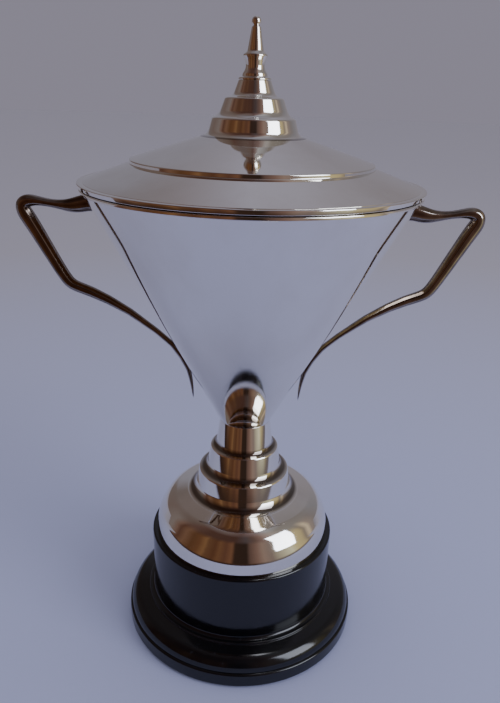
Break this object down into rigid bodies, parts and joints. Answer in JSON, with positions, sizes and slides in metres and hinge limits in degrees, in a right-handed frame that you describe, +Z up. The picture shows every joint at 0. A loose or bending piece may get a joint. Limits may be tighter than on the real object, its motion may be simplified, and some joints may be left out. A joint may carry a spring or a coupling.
{
  "type": "covered trophy cup",
  "caption": "Tall conical covered presentation cup with angular handles, stepped stem and finial, domed foot and round black plinth; the lid lifts off.",
  "frame": {"origin": "centre of the underside of the plinth's felt", "axes": "+Z up the cup's axis, +X through the right handle, -Y the front"},
  "size_m": [0.2082, 0.149, 0.2941],
  "materials": {
    "silver_plate": "mirror-polished silver plate with fine hairline wear",
    "black_plinth": "polished black moulding",
    "baize": "pressed dark green felt",
    "plain_brass": "turned",
    "plain_steel": "zinc-plated, dull"
  },
  "bodies": {
    "cup": {"plinth": "black_plinth", "plinth_felt": "baize", "foot_dome": "silver_plate", "stem_tiers": "silver_plate", "bowl_shell": "silver_plate", "bowl_rim_band": "silver_plate", "bowl_boss": "plain_brass", "handle_left": "silver_plate", "handle_right": "silver_plate", "tie_rod": "plain_steel", "tie_washer": "plain_steel", "tie_nut": "plain_steel"},
    "lid": {"lid_shell": "silver_plate", "lid_edge_bead": "silver_plate", "lid_bezel": "silver_plate", "finial_tiers": "silver_plate", "finial_spire": "silver_plate", "finial_stud": "plain_brass", "finial_washer": "plain_brass", "finial_nut": "plain_brass"}
  },
  "joints": [
    {"name": "lid_lift", "type": "slide", "parent": "cup", "child": "lid", "axis": [0, 0, 1], "range_m": [0, 0.08]}
  ]
}
